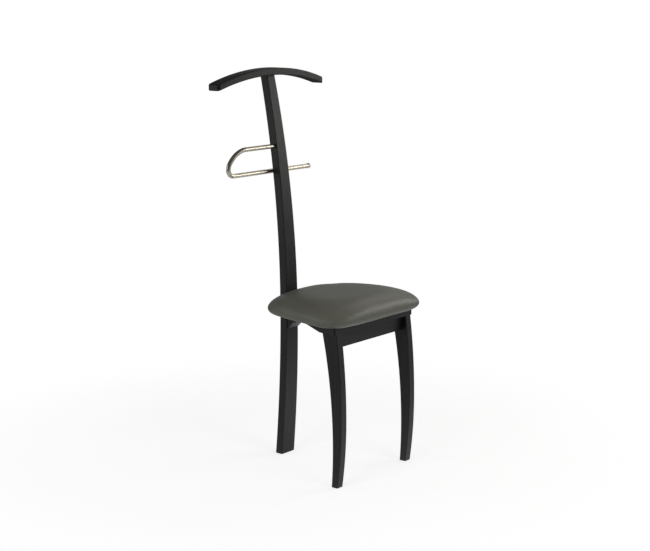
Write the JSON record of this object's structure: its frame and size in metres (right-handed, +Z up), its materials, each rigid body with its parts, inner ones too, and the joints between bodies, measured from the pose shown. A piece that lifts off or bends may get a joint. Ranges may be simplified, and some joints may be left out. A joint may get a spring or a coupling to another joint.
{
  "type": "clothes valet chair",
  "caption": "Clothes valet chair: a small upholstered seat on bowed legs, and a bowed rear post that carries a coat hanger and a swinging trouser bar",
  "frame": {"origin": "on the floor, under the centre of the bounding box", "axes": "+Z up; the sitter faces -Y, so the front legs are at -Y and the post at +Y; +X is the sitter's left. The closed loop of the trouser bar is on the -X side"},
  "size_m": [0.423, 0.413, 1.05],
  "materials": {
    "frame_wood": "black-stained wood under satin lacquer",
    "beech": "plain beech",
    "plywood": "plain plywood",
    "foam": "upholstery foam",
    "seat_cover": "grey grained upholstery leather",
    "satin_nickel": "satin nickel plate",
    "nylon": "black nylon",
    "zinc_steel": "zinc-plated steel"
  },
  "bodies": {
    "frame": {"rear_post": "frame_wood", "front_leg_left": "frame_wood", "front_leg_right": "frame_wood", "front_rail": "frame_wood", "seat_panel": "frame_wood", "glue_block_left": "beech", "glue_block_right": "beech", "seat_wedge_block": "frame_wood", "coat_hanger": "frame_wood", "trouser_bar_bush": "nylon", "trouser_bar_set_screw": "zinc_steel", "seat_base": "plywood", "seat_foam": "foam", "seat_cover": "seat_cover", "leg_dowels": "beech", "rail_dowels": "beech", "hanger_dowels": "beech", "post_bolts": "zinc_steel", "barrel_nuts": "zinc_steel", "block_screws": "zinc_steel", "seat_screws": "zinc_steel", "wedge_screws": "zinc_steel", "foot_glides": "nylon"},
    "trouser_bar": {"trouser_bar": "satin_nickel", "trouser_bar_ball": "satin_nickel"}
  },
  "joints": [
    {"name": "trouser_bar_pivot", "type": "hinge", "parent": "frame", "child": "trouser_bar", "pos_m": [0, 0.1517, 0.845], "axis": [1, 0, 0], "range_deg": [0, 140]}
  ]
}
